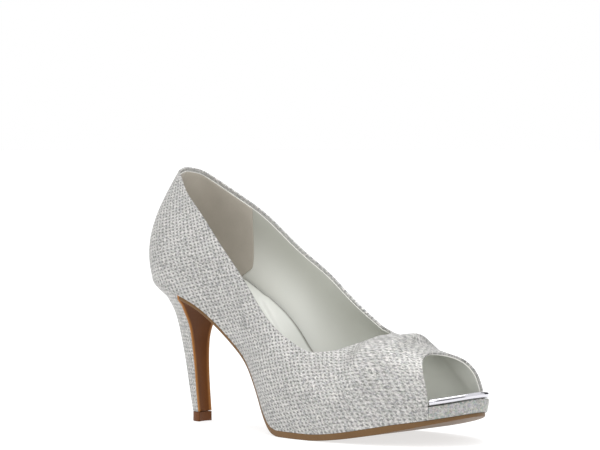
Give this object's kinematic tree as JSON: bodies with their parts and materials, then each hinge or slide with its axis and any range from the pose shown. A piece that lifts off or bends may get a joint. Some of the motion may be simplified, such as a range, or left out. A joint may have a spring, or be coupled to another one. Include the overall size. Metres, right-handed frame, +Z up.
{
  "type": "peep toe pump",
  "caption": "Women's peep toe pump with a slim covered high heel, a hidden platform, silver glitter fabric upper, metallic toe band and tan sole.",
  "frame": {"origin": "middle of the shoe's box in plan, on the floor that it stands on", "axes": "+X towards the toe, +Y towards the shoe's left, which is the inner side of this right shoe, +Z up"},
  "size_m": [0.2286, 0.0806, 0.1466],
  "materials": {
    "glitter_fabric": "silver glitter cloth with a square weave",
    "sole_leather": "smooth satin tan brown",
    "platform_fabric": "silver glitter cloth over the platform",
    "lining_leather": "matte pale grey cream",
    "metallic_band": "mirror silver coated band",
    "heel_fabric": "silver glitter cloth over the heel",
    "breast_leather": "smooth satin tan brown",
    "top_piece": "matte brown"
  },
  "bodies": {
    "root": {"upper": "glitter_fabric", "outsole": "sole_leather", "platform": "platform_fabric", "insole": "lining_leather", "toe_band": "metallic_band", "heel": "heel_fabric", "heel_breast_cover": "breast_leather", "heel_top_piece": "top_piece"}
  },
  "joints": []
}
